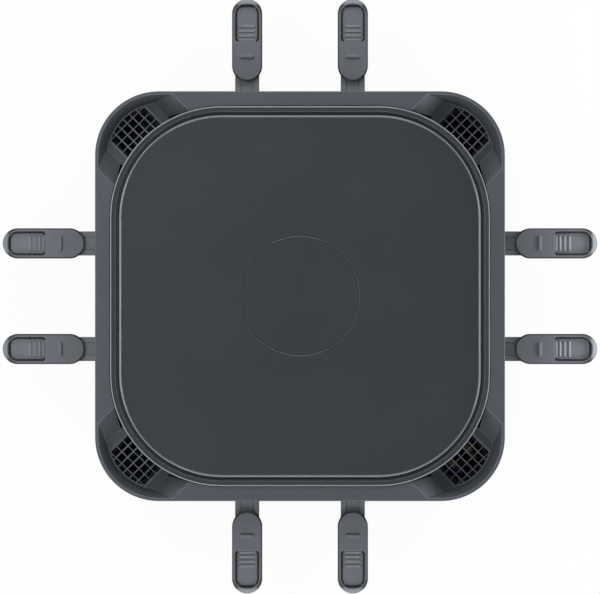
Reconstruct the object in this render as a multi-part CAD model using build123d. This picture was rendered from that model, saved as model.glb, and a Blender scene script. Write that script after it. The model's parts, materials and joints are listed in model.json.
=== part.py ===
from build123d import *
import math
import os

# Raclette grill for eight: a square grill plate in a moulded frame, over a bay with eight small pans.
# Millimetres, +Z up, +X right, -Y is the front with the knob. The origin is on the floor, in the middle.

# Plan sizes of the plate and of the frame round it
plate_half = 190
plate_corner = 112
plate_gap = 1
frame_border = 14
body_corner = 64

# Heights, stacked from the floor
foot_height = 6
base_height = 38
deck_sheet = 1.2
column_height = 46.3
grid_sheet = 2
floor_wall = 2.5
scoop_depth = 22

# Walls, fits and helpers shared by several pieces
wall = 2.5
skirt_wall = 3
fit = 0.3
running_fit = 0.06
screw_fit = 0.05
overrun = 5
quarter = 90
diagonal = 45
corners = 4

body_half = plate_half + plate_gap + frame_border
lower_inset = skirt_wall + fit
base_bottom = foot_height
base_top = base_bottom + base_height
deck_top = base_top + deck_sheet
column_top = deck_top + column_height
frame_seat = column_top + grid_sheet
scoop_floor = frame_seat + floor_wall
frame_top = scoop_floor + scoop_depth


# Outlines in plan, and the solids made from them
def body_outline(inset=0):
    side = 2 * (body_half - inset)
    return RectangleRounded(side, side, body_corner - inset)


def plate_outline(outset=0):
    side = 2 * (plate_half + outset)
    return RectangleRounded(side, side, plate_corner + outset)


def prism(sketch, low, high):
    return extrude(Pos(0, 0, low) * sketch, high - low)


def drafted(low_sketch, low, high_sketch, high):
    return loft([Pos(0, 0, low) * low_sketch, Pos(0, 0, high) * high_sketch], ruled=True)


def rod(radius, low, high):
    return prism(Circle(radius), low, high)


def turned(shape, turn):
    return Rot(0, 0, turn) * shape


def side_slab(low_x, high_x, low_y, high_y):
    """A rectangle in plan between two x and two y values."""
    centre = Pos((low_x + high_x) / 2, (low_y + high_y) / 2)
    return centre * Rectangle(high_x - low_x, high_y - low_y)


def facing_front(sketch, near, far):
    """A sketch drawn in X and Z, run along -Y from one distance to another."""
    return extrude(Plane.XZ.offset(near) * sketch, far - near)


def screw(shank_radius, shank_low, seat, head_radius, head_height):
    """A screw with its head above the seat; turn it over for one that goes upwards."""
    return rod(shank_radius, shank_low, seat) + rod(head_radius, seat, seat + head_height)


def tube(points, radii, radius):
    path = FilletPolyline(*points, radius=radii)
    section = Plane(origin=points[0], z_dir=Vector(*points[1]) - Vector(*points[0])) * Circle(radius)
    return sweep(section, path=path)


def save(name, *pieces):
    solids = [solid for piece in pieces for solid in piece.solids()]
    whole = solids[0] if len(solids) == 1 else Compound(solids)
    export_step(whole, f"parts/{name}.step")


# Places of the tie screws, from the middle of each corner's arc
tie_angle = 61
tie_boss_radius = 4.5
tie_shank_radius = 2
tie_hole_radius = 2.25
tie_wall_gap = 2.7

arc_centre = (body_half - body_corner) * math.sqrt(2)
tie_arm = body_corner - lower_inset - wall - tie_boss_radius - tie_wall_gap
tie_out = arc_centre + tie_arm * math.cos(math.radians(tie_angle))
tie_side = tie_arm * math.sin(math.radians(tie_angle))


def tie_places():
    for corner in range(corners):
        for side in (-tie_side, tie_side):
            yield Rot(0, 0, diagonal + corner * quarter) * Pos(tie_out, side, 0)


# Grill plate: a lip, two slopes with a step between, a gutter and a bead, run round one cooking floor
lip_rise = 1.5
lip_seat_drop = 6
lip_land = 1.4
slope_width = 1.7
slope_drop = 3.3
step_width = 2
step_drop = 0.3
gutter_wall = 1.1
gutter_depth = 4.5
gutter_width = 1.9
bead_rise = 2.4
bead_flank = 0.9
bead_width = 1.1
cooking_floor_drop = 1
cooking_floor_thickness = 5.5
rim_overlap = 3
plate_body_inset = 4.5
lip_round = 0.6
bead_round = 0.4
underside_round = 2
mark_radius = 59.7
mark_width = 0.9
mark_depth = 0.6

lip_seat = frame_top - lip_seat_drop
lip_bottom = lip_seat + fit
lip_top = frame_top + lip_rise
step_z = lip_top - slope_drop
gutter_z = step_z - gutter_depth
bead_z = gutter_z + bead_rise
cooking_z = bead_z - cooking_floor_drop
plate_underside = cooking_z - cooking_floor_thickness
slope_end = lip_land + slope_width
step_end = slope_end + step_width
gutter_start = step_end + gutter_wall
bead_start = gutter_start + gutter_width
bead_top_start = bead_start + bead_flank
bead_top_end = bead_top_start + bead_width
bead_end = bead_top_end + bead_flank
rim_end = bead_end + rim_overlap


def rim_section():
    """The rim in X and Z: distances are measured inwards from the lip's outer edge."""
    soft = [(0, lip_top), (lip_land, lip_top)]
    crisp = [(slope_end, step_z), (bead_top_start, bead_z), (bead_top_end, bead_z)]
    under = [(plate_body_inset, plate_underside)]
    outline = [(0, lip_bottom), *soft, crisp[0], (step_end, step_z - step_drop), (gutter_start, gutter_z)]
    outline += [(bead_start, gutter_z), *crisp[1:], (bead_end, cooking_z), (rim_end, cooking_z)]
    outline += [(rim_end, plate_underside), *under, (plate_body_inset, lip_bottom)]
    section = make_face(Polyline(*[(plate_half - inset, z) for inset, z in outline], close=True))
    for places, radius in ((soft, lip_round), (crisp, bead_round), (under, underside_round)):
        spots = [Vector(plate_half - inset, z) for inset, z in places]
        section = fillet([v for v in section.vertices() if any(v.center() == spot for spot in spots)], radius)
    return Plane.XZ * section


def grill_plate():
    plate = sweep(rim_section(), path=plate_outline().wire())
    plate += prism(plate_outline(-rim_end), plate_underside, cooking_z)
    mark = Circle(mark_radius) - Circle(mark_radius - mark_width)
    return plate - prism(mark, cooking_z - mark_depth, cooking_z)


# Heat shield and its short screws
shield_sheet = 0.8
shield_drop = 9.2
shield_clearance = 0.7
shield_wall_inset = 12
shield_flange = 6
inner_screw_radius = 1.5
inner_head_radius = 2.75
inner_head_height = 1.6
inner_screw_length = 5
shield_screw_past = 12
shield_screw_side = plate_half - plate_corner + shield_screw_past

# Top frame: a flat border, a skirt, an inner wall that carries the plate and the heat shield,
# and a drafted scoop with two ramps in each corner
skirt_height = 28
edge_round = 1.2
ledge_reach = 3.8
ledge_sheet = 2.5
scoop_rim = 3
scoop_draft = 8
ramp_top = 53
ramp_bottom = 33
slot_width = 4.2
grid_half_width = 25
shield_foot_gap = 1
screw_depth = 7

skirt_bottom = frame_top - skirt_height
ledge_inner = -ledge_reach
foot_inner = shield_foot_gap - shield_wall_inset
scoop_foot_inset = scoop_rim + scoop_draft


def ramp_section(spread, low):
    """Trapezoid across a scoop: wide at the frame's top, narrow at its floor."""
    slope = (ramp_top - ramp_bottom) / scoop_depth
    low_half = ramp_bottom + spread - slope * (scoop_floor - low)
    high_half = ramp_top + spread + slope * overrun
    high = frame_top + overrun
    outline = Polyline((-low_half, low), (low_half, low), (high_half, high), (-high_half, high), close=True)
    return extrude(Plane.YZ * make_face(outline), 2 * body_half)


def scoop_wall_form(inset, low):
    """The drafted outer wall of the scoops as one solid, from a low level to above the frame."""
    draft = scoop_draft / scoop_depth
    low_inset = scoop_rim + inset + draft * (frame_top - low)
    high_inset = scoop_rim + inset - draft * overrun
    return drafted(body_outline(low_inset), low, body_outline(high_inset), frame_top + overrun)


def slot_outline():
    """A wedge beside a ramp, along the plate's corner, that closes at the ramp's high end."""
    centre = (plate_half - plate_corner) * math.sqrt(2)
    low_end = centre + math.sqrt(plate_corner**2 - ramp_bottom**2) + slot_width
    high_end = centre + math.sqrt(plate_corner**2 - ramp_top**2) + plate_gap
    corners_of_slot = ((centre, ramp_bottom), (low_end, ramp_bottom), (high_end, ramp_top), (centre, ramp_top))
    return make_face(Polyline(*corners_of_slot, close=True))


def corner_set(shape):
    return [turned(shape, diagonal + corner * quarter) for corner in range(corners)]


def top_frame():
    ramp_spread = wall * math.hypot(scoop_depth, ramp_top - ramp_bottom) / scoop_depth
    opening = plate_gap
    frame = prism(body_outline() - plate_outline(opening), frame_top - floor_wall, frame_top)
    frame += prism(body_outline() - body_outline(skirt_wall), skirt_bottom, frame_top)
    frame += prism(plate_outline(opening + wall) - plate_outline(opening), lip_seat - ledge_sheet, frame_top)
    frame += prism(
        plate_outline(opening + wall) - plate_outline(ledge_inner), lip_seat - ledge_sheet, lip_seat
    )
    frame += prism(plate_outline(ledge_inner + wall) - plate_outline(ledge_inner), frame_seat, lip_seat)
    frame += prism(plate_outline(ledge_inner + wall) - plate_outline(foot_inner), frame_seat, scoop_floor)

    tub_form = scoop_wall_form(-wall, frame_seat) & prism(body_outline(), frame_seat, frame_top)
    for tub in corner_set(ramp_section(ramp_spread, frame_seat)):
        shell = (tub_form & tub) - prism(plate_outline(ledge_inner + wall), frame_seat, frame_top)
        frame += shell - prism(plate_outline(opening), scoop_floor, frame_top)
    for place in tie_places():
        frame += place * rod(tie_boss_radius, frame_seat, frame_top - floor_wall)

    cavity_form = scoop_wall_form(0, scoop_floor) - prism(plate_outline(), frame_seat, frame_top + overrun)
    slot_ring = prism(body_outline() - plate_outline(), skirt_bottom, frame_top + overrun)
    slot_form = prism(slot_outline(), skirt_bottom, frame_top + overrun)
    hole_form = prism(body_outline(scoop_foot_inset) - plate_outline(), skirt_bottom, frame_top)
    hole_box = prism(
        side_slab(0, 2 * body_half, -grid_half_width, grid_half_width), skirt_bottom, frame_top
    )
    for cavity in corner_set(ramp_section(0, scoop_floor)):
        frame -= cavity_form & cavity
    for slot in corner_set(slot_form) + corner_set(mirror(slot_form, Plane.XZ)):
        frame -= slot_ring & slot
    for hole in corner_set(hole_box):
        frame -= hole_form & hole
    for place in tie_places():
        frame -= place * rod(tie_shank_radius + screw_fit, frame_seat, frame_seat + screw_depth)
    for place in shield_screw_places():
        frame -= place * rod(inner_screw_radius + screw_fit, frame_seat, scoop_floor)
    outer_edges = frame.edges().group_by(Axis.Z)[-1].filter_by(
        lambda edge: max(abs(edge.center().X), abs(edge.center().Y)) > body_half - edge_round
        or abs(edge.center().X) + abs(edge.center().Y) > math.sqrt(2) * (arc_centre + body_corner - edge_round)
    )
    return fillet(outer_edges, edge_round)


# Vent grids: one lattice under each scoop, held by two ears between column and frame
grid_bars = 5
grid_pitch = 8
cross_bars = 3
cross_pitch = 8.5
cross_first = 6
bar_width = 1.3
cross_bar_width = 0.9
grid_border = 1.5
grid_lap = 4
ear_reach = 0.5


def vent_grid():
    lap = Pos(0, 0) * body_outline(scoop_foot_inset - grid_lap) - plate_outline(ledge_inner + wall)
    band = side_slab(0, 2 * body_half, -grid_half_width - grid_lap, grid_half_width + grid_lap)
    outline = turned(lap, -diagonal) & band
    window = turned(body_outline(scoop_foot_inset + grid_border) - plate_outline(-grid_border), -diagonal)
    window &= side_slab(0, 2 * body_half, -grid_half_width + grid_border, grid_half_width - grid_border)
    lip_out = (plate_half - plate_corner) * math.sqrt(2) + plate_corner
    bars = []
    for bar in range(grid_bars):
        middle = (bar - (grid_bars - 1) / 2) * grid_pitch
        bars.append(side_slab(0, 2 * body_half, middle - bar_width / 2, middle + bar_width / 2))
    for bar in range(cross_bars):
        middle = lip_out + cross_first + bar * cross_pitch
        span = grid_half_width + grid_lap
        bars.append(side_slab(middle - cross_bar_width / 2, middle + cross_bar_width / 2, -span, span))
    lattice = outline - window
    for bar in bars:
        lattice += outline & bar
    for side in (-1, 1):
        ear = side_slab(
            tie_out - tie_boss_radius, tie_out + tie_boss_radius, grid_half_width + ear_reach, tie_side
        )
        lattice += mirror(ear, Plane.XZ) if side < 0 else ear
        lattice += Pos(tie_out, side * tie_side) * Circle(tie_boss_radius)
        lattice -= Pos(tie_out, side * tie_side) * Circle(tie_hole_radius)
    return prism(lattice, column_top, frame_seat)


# Heat shield: a sheet ring that hangs in the frame and carries the element
shield_bottom = scoop_floor - shield_drop
shield_outer = ledge_inner - shield_clearance
shield_screw_out = plate_half + shield_outer - inner_head_radius


def shield_screw_places():
    for side in range(corners):
        for along in (-shield_screw_side, shield_screw_side):
            yield Rot(0, 0, side * quarter) * Pos(shield_screw_out, along, 0)


def heat_shield():
    inner = -shield_wall_inset
    shield = prism(
        plate_outline(shield_outer) - plate_outline(inner - shield_sheet),
        scoop_floor,
        scoop_floor + shield_sheet,
    )
    ring = plate_outline(inner) - plate_outline(inner - shield_sheet)
    shield += prism(ring, shield_bottom, scoop_floor + shield_sheet)
    shield += prism(
        plate_outline(inner) - plate_outline(inner - shield_flange),
        shield_bottom,
        shield_bottom + shield_sheet,
    )
    for place in shield_screw_places():
        shield -= place * rod(inner_screw_radius + screw_fit, scoop_floor, scoop_floor + shield_sheet)
    return shield


# Columns: hollow posts with a flat inner wall, open above and below
column_depth = 54.7
column_zone = 98
louvre_width = 4
louvre_height = 24
louvre_pitch = 13
louvres = 3
shield_relief = 2

bay_side = body_half - column_zone
column_half = body_half - lower_inset
column_arc = body_corner - lower_inset
column_diagonal = (column_half - column_arc) * math.sqrt(2) + column_arc
column_chord = column_diagonal - column_depth


def column_outline(inset):
    outline = turned(body_outline(lower_inset + inset), -diagonal)
    outline &= side_slab(column_chord + inset, 2 * body_half, -body_half, body_half)
    far = 2 * body_half
    corner_square = side_slab(bay_side + inset, far, bay_side + inset, far)
    return outline & turned(corner_square, -diagonal)


def column():
    post = prism(column_outline(0) - column_outline(wall), deck_top, column_top)
    inside = prism(column_outline(0), deck_top, column_top)
    bosses = [Pos(tie_out, side, 0) * rod(tie_boss_radius, deck_top, column_top) for side in (-tie_side, tie_side)]
    webs = [
        prism(
            side_slab(tie_out - wall / 2, tie_out + wall / 2, *sorted((side, side * 2))), deck_top, column_top
        )
        for side in (-tie_side, tie_side)
    ]
    for piece in bosses + webs:
        post += inside & piece
    for side in (-tie_side, tie_side):
        post -= Pos(tie_out, side, 0) * rod(tie_hole_radius, deck_top, column_top)
    middle = (deck_top + shield_bottom) / 2
    for louvre in range(louvres):
        across = (louvre - (louvres - 1) / 2) * louvre_pitch
        opening = side_slab(
            column_diagonal - column_arc / 2, 2 * body_half, across - louvre_width / 2, across + louvre_width / 2
        )
        post -= prism(opening, middle - louvre_height / 2, middle + louvre_height / 2)
    relief = turned(plate_outline(), -diagonal)
    post -= prism(relief, shield_bottom - shield_relief, column_top)
    return post


# Pans: a drafted steel dish, a strap welded to it and a moulded grip
pans_per_side = 2
column_clearance = 6.7
pan_side_gap = 12.6
pan_corner_gap = 5.7
pan_edge_inset = 9
dish_corner = 16
dish_bend = 3
dish_height = 17
dish_draft = 3
dish_rim = 3
dish_sheet = 1
slide_gap = 0.3

neck_width = 24.4
neck_sheet = 2
neck_leg = 8
neck_groove_side = 6
neck_groove_width = 1.2
neck_groove_depth = 0.6
neck_in_grip = 33

grip_gap = 12.2
grip_length = 82.8
grip_width = 30.5
grip_thickness = 15
grip_under_round = 4
bevel_tip = 4.2
bevel_side = 1.8
bevel_inner = 1.2
bevel_drop = 2.2
recess_start = 5.6
recess_length = 38
recess_width = 24.8
recess_depth = 4.4
recess_outer_corner = 9.5
recess_inner_corner = 3.6
recess_bevel = 2.8
rib_height = 1.3
rib_run = 2.1
rib_length = 15.6
rib_first = 26.4
rib_pitch = 4.75
ribs = 3
last_rib_run = 2.9
last_rib_rise = 3.4
bar_start = 56.1
bar_size = 4.8
bar_length = 15.8
bar_height = 1.9
bar_slope = 1.5

dish_width = bay_side - column_clearance - pan_side_gap / 2
pan_offset = (dish_width + pan_side_gap) / 2
pan_inner = pan_offset + dish_width / 2 + pan_corner_gap
dish_length = body_half - pan_edge_inset - pan_inner
dish_low = deck_top + slide_gap
dish_top = dish_low + dish_height
dish_middle = pan_inner + dish_length / 2
dish_outer = pan_inner + dish_length
rim_under = dish_top - dish_sheet
neck_low = rim_under - neck_sheet
grip_inner = body_half + grip_gap
grip_outer = grip_inner + grip_length
grip_low = neck_low + (neck_sheet - grip_thickness) / 2
grip_top = grip_low + grip_thickness


def dish_outline(inset):
    length = dish_length - 2 * inset
    width = dish_width - 2 * inset
    return Pos(dish_middle, 0) * RectangleRounded(length, width, dish_corner - inset)


def pan_dish():
    """A drafted tray with a soft bend at its bottom, inside and out, and a flat rim."""
    dish = drafted(dish_outline(dish_rim + dish_draft), dish_low, dish_outline(dish_rim), rim_under)
    dish = fillet(dish.edges().group_by(Axis.Z)[0], dish_bend)
    dish += prism(dish_outline(0), rim_under, dish_top)
    inner_low = dish_outline(dish_rim + dish_draft + dish_sheet)
    inside = drafted(inner_low, dish_low + dish_sheet, dish_outline(dish_rim + dish_sheet), dish_top)
    return dish - fillet(inside.edges().group_by(Axis.Z)[0], dish_bend - dish_sheet)


def pan_neck():
    def wall_x(z):
        lean = dish_draft * (rim_under - z) / (rim_under - dish_low)
        return dish_outer - dish_rim - lean

    leg_low = neck_low - neck_leg
    neck_end = grip_inner + neck_in_grip
    side_view = Polyline(
        (wall_x(rim_under), rim_under),
        (neck_end, rim_under),
        (neck_end, neck_low),
        (wall_x(neck_low) + neck_sheet, neck_low),
        (wall_x(leg_low) + neck_sheet, leg_low),
        (wall_x(leg_low), leg_low),
        close=True,
    )
    neck = extrude(Plane.XZ * make_face(side_view), neck_width / 2, both=True)
    for side in (-neck_groove_side, neck_groove_side):
        groove = side_slab(dish_outer, grip_outer, side - neck_groove_width / 2, side + neck_groove_width / 2)
        neck -= prism(groove, rim_under - neck_groove_depth, rim_under)
    return neck


def grip_outline(tip, side, inner):
    """The grip's stadium, drawn in by different amounts at its tip, its sides and its inner end."""
    length = grip_length - tip - inner
    middle = (grip_inner + inner + grip_outer - tip) / 2
    return Pos(middle, 0) * SlotOverall(length, grip_width - 2 * side)


def recess_outline(inset):
    end = grip_outer - recess_start
    length = recess_length - 2 * inset
    width = recess_width - 2 * inset
    block = Pos(end - recess_length / 2, 0) * Rectangle(length, width)
    outer = block.vertices().group_by(Axis.X)[-1]
    block = fillet(outer, recess_outer_corner - inset)
    inner = block.vertices().group_by(Axis.X)[0]
    return fillet(inner, recess_inner_corner - inset)


def grip_rib(from_tip, run, rise, floor):
    """A wedge across the recess that climbs away from the tip and drops steeply."""
    start = grip_outer - from_tip
    side_view = Polyline((start, floor), (start - run, floor), (start - run, floor + rise), close=True)
    return extrude(Plane.XZ * make_face(side_view), rib_length / 2, both=True)


def pan_grip():
    shoulder = grip_top - bevel_drop
    grip = prism(grip_outline(0, 0, 0), grip_low, shoulder)
    grip = fillet(grip.edges().group_by(Axis.Z)[0], grip_under_round)
    grip += drafted(grip_outline(0, 0, 0), shoulder, grip_outline(bevel_tip, bevel_side, bevel_inner), grip_top)
    floor = grip_top - recess_depth
    grip -= drafted(recess_outline(recess_bevel), floor, recess_outline(0), grip_top)
    for rib in range(ribs):
        grip += grip_rib(rib_first + rib * rib_pitch, rib_run, rib_height, floor)
    recess_end = recess_start + recess_length - recess_bevel / 2
    grip += grip_rib(recess_end - last_rib_run, last_rib_run, last_rib_rise, floor)
    middle = Pos(grip_outer - bar_start - bar_size / 2, 0) * Rot(0, 0, quarter)
    bar_foot = middle * SlotOverall(bar_length, bar_size)
    bar_crest = middle * SlotOverall(bar_length - 2 * bar_slope, bar_size - 2 * bar_slope)
    grip += drafted(bar_foot, grip_top, bar_crest, grip_top + bar_height)
    socket = side_slab(
        grip_inner - overrun, grip_inner + neck_in_grip + fit, -neck_width / 2 - fit, neck_width / 2 + fit
    )
    return grip - prism(socket, neck_low - running_fit, rim_under + running_fit)


def pan_places():
    for side in range(corners):
        for step in range(pans_per_side):
            across = (2 * step - (pans_per_side - 1)) * pan_offset
            yield Rot(0, 0, side * quarter) * Pos(0, across, 0)


# Pan deck: the sheet that the pans slide on, with pressed ridges between and behind them
ridge_height = 2.2
ridge_width = 4
ridge_end_gap = 14
stop_gap = 2
duct_length = 26
duct_width = 42
duct_corner = 8
duct_out = 9


def duct():
    """The hole from the base up into a column, for air and leads."""
    return Pos(tie_out + duct_out, 0) * RectangleRounded(duct_length, duct_width, duct_corner)


def pan_deck():
    deck = prism(body_outline(lower_inset), base_top, deck_top)
    stop_outer = pan_inner - stop_gap
    stop_inner = stop_outer - ridge_width
    ring = Rectangle(2 * stop_outer, 2 * stop_outer) - Rectangle(2 * stop_inner, 2 * stop_inner)
    deck += prism(ring, deck_top, deck_top + ridge_height)
    ridge = side_slab(stop_outer, body_half - ridge_end_gap, -ridge_width / 2, ridge_width / 2)
    for side in range(corners):
        deck += turned(prism(ridge, deck_top, deck_top + ridge_height), side * quarter)
    for opening in corner_set(prism(duct(), base_top, deck_top)):
        deck -= opening
    for place in tie_places():
        deck -= place * rod(tie_hole_radius, base_top, deck_top)
    return deck


# Base shell: a tray with screw wells, vents, a set-back control panel and the inlet's hole
base_chamfer = 3
well_radius = 4.5
tie_head_radius = 4
tie_head_height = 2.8
tie_head_rise = 14
vent_length = 60
vent_width = 4
vent_pitch = 10
vents = 5
vent_inset = 110
foot_inset = 57
foot_radius = 13
foot_neck_radius = 4
foot_head_radius = 6
foot_head_height = 2
panel_setback = 17
panel_low = 3
panel_corner = 5
panel_margin = 6
knob_radius = 11.5
dial_radius = 15.5
dial_sheet = 1
lamp_side = 30
lens_radius = 4
lens_head_radius = 5
lens_head = 1.2
shaft_radius = 3
shaft_wall_gap = 0.5

base_floor = base_bottom + wall
base_half = body_half - lower_inset
vent_out = body_half - vent_inset
foot_place = body_half - foot_inset
panel_face = base_half - panel_setback
panel_back = panel_face - wall
panel_bottom = base_bottom + panel_low
panel_top = panel_bottom + 2 * (dial_radius + fit)
control_z = (panel_bottom + panel_top) / 2
panel_left = -dial_radius - panel_margin
panel_right = lamp_side + lens_head_radius + panel_margin

# Mains inlet in the back wall
inlet_flange_width = 50
inlet_flange_height = 22
inlet_flange = 2.8
inlet_body_width = 29
inlet_body_height = 21
inlet_body_depth = 22
cavity_width = 24.4
cavity_height = 16.8
cavity_depth = 17
cavity_corner = 4
pin_length = 13
pin_width = 2
pin_height = 4
pin_spacing = 7
earth_pin_rise = 3.5
pin_drop = 1.5
inlet_z = 25
inlet_screw_side = 20

inlet_seat = base_half
inlet_face = inlet_seat + inlet_flange


def facing_back(sketch, near, far):
    """A sketch drawn in X and Z, run along +Y from one distance to another."""
    return extrude(Plane.XZ.offset(-near) * sketch, near - far)


def panel_outline(outset):
    centre = Pos((panel_left + panel_right) / 2, control_z)
    width = panel_right - panel_left + 2 * outset
    height = panel_top - panel_bottom + 2 * outset
    return centre * RectangleRounded(width, height, panel_corner + outset)


def base_shell():
    bottom = drafted(
        body_outline(lower_inset + base_chamfer), base_bottom, body_outline(lower_inset), base_bottom + base_chamfer
    )
    shell = bottom + prism(body_outline(lower_inset), base_bottom + base_chamfer, base_top)
    shell -= prism(body_outline(lower_inset + wall), base_floor, base_top)
    inside = prism(body_outline(lower_inset), base_bottom, base_top)
    shell += inside & facing_front(panel_outline(wall), panel_back, body_half)
    shell -= facing_front(panel_outline(0), panel_face, body_half)
    for place in tie_places():
        shell += place * rod(tie_boss_radius + wall, base_bottom, base_top)
        shell -= place * rod(well_radius, base_bottom, base_bottom + tie_head_rise)
        shell -= place * rod(tie_hole_radius, base_bottom, base_top)
    for side in range(corners):
        for vent in range(vents):
            across = vent_out + (vent - (vents - 1) / 2) * vent_pitch
            slot = Pos(0, across) * SlotOverall(vent_length, vent_width)
            shell -= turned(prism(slot, base_bottom, base_floor), side * quarter)
    for place in foot_places():
        shell -= place * rod(foot_neck_radius + fit, base_bottom, base_floor)
    shell -= facing_front(Pos(0, control_z) * Circle(shaft_radius + shaft_wall_gap), panel_back, panel_face)
    shell -= facing_front(Pos(lamp_side, control_z) * Circle(lens_radius + screw_fit), panel_back, panel_face)
    inlet_hole = Pos(0, inlet_z) * Rectangle(inlet_body_width + 2 * fit, inlet_body_height + 2 * fit)
    shell -= facing_back(inlet_hole, base_half - wall, base_half)
    for side in (-inlet_screw_side, inlet_screw_side):
        hole = Pos(side, inlet_z) * Circle(inner_screw_radius + screw_fit)
        shell -= facing_back(hole, base_half - wall, base_half)
    post = Pos(cutout_x, cutout_y, 0) * rod(cutout_radius, base_floor, cutout_low)
    shell += post
    return shell


def foot_places():
    for corner in range(corners):
        yield Rot(0, 0, diagonal + corner * quarter) * Pos(foot_place * math.sqrt(2), 0, 0)


def feet():
    foot = rod(foot_radius, 0, base_bottom) + rod(foot_neck_radius, base_bottom, base_floor)
    foot += rod(foot_head_radius, base_floor, base_floor + foot_head_height)
    return [place * foot for place in foot_places()]


def tie_screws():
    seat = base_bottom + tie_head_rise
    long_shank = rod(tie_shank_radius, seat, frame_seat + screw_depth - fit)
    head = rod(tie_head_radius, seat - tie_head_height, seat)
    return [place * (long_shank + head) for place in tie_places()]


# Element: one tube in two loops, its ends dropped below the shield and led out into a column
element_radius = 3.3
element_inset = 30
element_drop_bend = 9.5
element_drop = 20.5
element_drop_gap = 26
terminal_spacing = 21
uturn_inset = 80
uturn_clearance = 0.3
element_end = 14
jog_bend = 14
support_sheet = 1.5
support_width = 14
support_overhang = 10

element_outer = plate_half - element_inset
uturn_side = element_outer - uturn_inset
element_z = shield_bottom + shield_sheet + support_sheet + element_radius
drop_out = column_chord - element_drop_gap
element_inner = (drop_out - terminal_spacing / 2) / math.sqrt(2)
element_bend = plate_corner - element_inset
element_inner_bend = element_bend - element_outer + element_inner
terminal_z = element_z - element_drop
terminal_out = column_chord + wall + element_end


def at_front_corner(out, across, z):
    """A point from distances along and across the front right diagonal."""
    return ((out + across) / math.sqrt(2), (across - out) / math.sqrt(2), z)


def element_path():
    half_gap = terminal_spacing / 2
    jog_across = element_outer * math.sqrt(2) - drop_out
    points = [
        at_front_corner(terminal_out, half_gap, terminal_z),
        at_front_corner(drop_out, half_gap, terminal_z),
        at_front_corner(drop_out, half_gap, element_z),
        at_front_corner(drop_out, jog_across, element_z),
        (element_outer, element_outer, element_z),
        (-element_outer, element_outer, element_z),
        (-element_outer, -element_outer, element_z),
        (uturn_side, -element_outer, element_z),
        (uturn_side, -element_inner, element_z),
        (-element_inner, -element_inner, element_z),
        (-element_inner, element_inner, element_z),
        (element_inner, element_inner, element_z),
        at_front_corner(drop_out, -half_gap, element_z),
        at_front_corner(drop_out, -half_gap, terminal_z),
        at_front_corner(terminal_out, -half_gap, terminal_z),
    ]
    uturn = (element_outer - element_inner) / 2 - uturn_clearance
    radii = [element_drop_bend, element_drop_bend, jog_bend]
    radii += [element_bend] * 3 + [uturn] * 2 + [element_inner_bend] * 3 + [element_drop_bend] * 2
    return points, radii


def heating_element():
    points, radii = element_path()
    return tube(points, radii, element_radius)


def element_supports():
    shield_edge = plate_half - shield_wall_inset - shield_sheet
    strip = side_slab(element_inner - support_overhang, shield_edge, -support_width / 2, support_width / 2)
    low = shield_bottom + shield_sheet
    return [turned(prism(strip, low, low + support_sheet), side * quarter) for side in range(corners)]


clip_sheet = 0.8
clip_width = 6
clip_gap = 0.05


def element_clips():
    inner = element_radius + clip_gap
    outer = inner + clip_sheet
    arch = Circle(outer) + Pos(0, -element_radius / 2) * Rectangle(2 * outer, element_radius)
    arch -= Circle(inner) + Pos(0, -element_radius) * Rectangle(2 * inner, 2 * element_radius)
    section = Plane.XZ * arch
    clip = Pos(0, 0, element_z) * extrude(section, clip_width / 2, both=True)
    clips = []
    for side in range(corners):
        for out in (element_inner, element_outer):
            clips.append(Rot(0, 0, side * quarter) * Pos(out, 0, 0) * clip)
    return clips


# Bushes and tags of the element's two ends
bush_radius = 5.5
bush_flange_radius = 7.5
bush_flange = 2
tag_width = 6.3
tag_sheet = 0.8
tag_length = 9
tag_collar = 2


def along_front_corner(sketch, near, far, across, z):
    """A sketch square to the front right diagonal, run outwards from one distance to another."""
    plane = Plane(origin=at_front_corner(near, across, z), z_dir=(1, -1, 0), x_dir=(1, 1, 0))
    return extrude(plane * sketch, far - near)


def element_ends():
    return (-terminal_spacing / 2, terminal_spacing / 2)


def element_bushes():
    bushes = []
    for across in element_ends():
        ring = Circle(bush_radius) - Circle(element_radius + running_fit)
        flange = Circle(bush_flange_radius) - Circle(element_radius + running_fit)
        near = column_chord - bush_flange
        bush = along_front_corner(flange, near, column_chord, across, terminal_z)
        bush += along_front_corner(ring, column_chord, column_chord + wall + bush_flange, across, terminal_z)
        bushes.append(bush)
    return bushes


def element_terminals():
    tags = []
    for across in element_ends():
        collar = along_front_corner(
            Circle(element_radius), terminal_out, terminal_out + tag_collar, across, terminal_z
        )
        blade = Rectangle(tag_width, tag_sheet)
        start = terminal_out + tag_collar
        tags.append(collar + along_front_corner(blade, start, start + tag_length, across, terminal_z))
    return tags


def front_right_column():
    post = turned(column(), -diagonal)
    for across in element_ends():
        hole = Circle(bush_radius + screw_fit)
        post -= along_front_corner(hole, column_chord, column_chord + wall, across, terminal_z)
    return post


# Control: thermostat behind the panel, its shaft, the dial ring and the knob in front
thermostat_width = 27
thermostat_height = 22
thermostat_depth = 20
bush_depth = 12
knob_length = 14
knob_gap = 0.4
knob_base = 3
knob_grip_width = 9
knob_socket = 8
knob_flat = 0.8
knob_bevel = 0.7
pointer_width = 1.6
pointer_depth = 0.6


def thermostat():
    face = panel_back
    block = facing_front(
        Pos(0, control_z) * Rectangle(thermostat_width, thermostat_height), face - thermostat_depth, face
    )
    bore = Pos(0, control_z) * Circle(shaft_radius + running_fit)
    return block - facing_front(bore, face - bush_depth, face)


def dial_ring():
    ring = Circle(dial_radius) - Circle(shaft_radius + shaft_wall_gap)
    return facing_front(Pos(0, control_z) * ring, panel_face, panel_face + dial_sheet)


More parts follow.
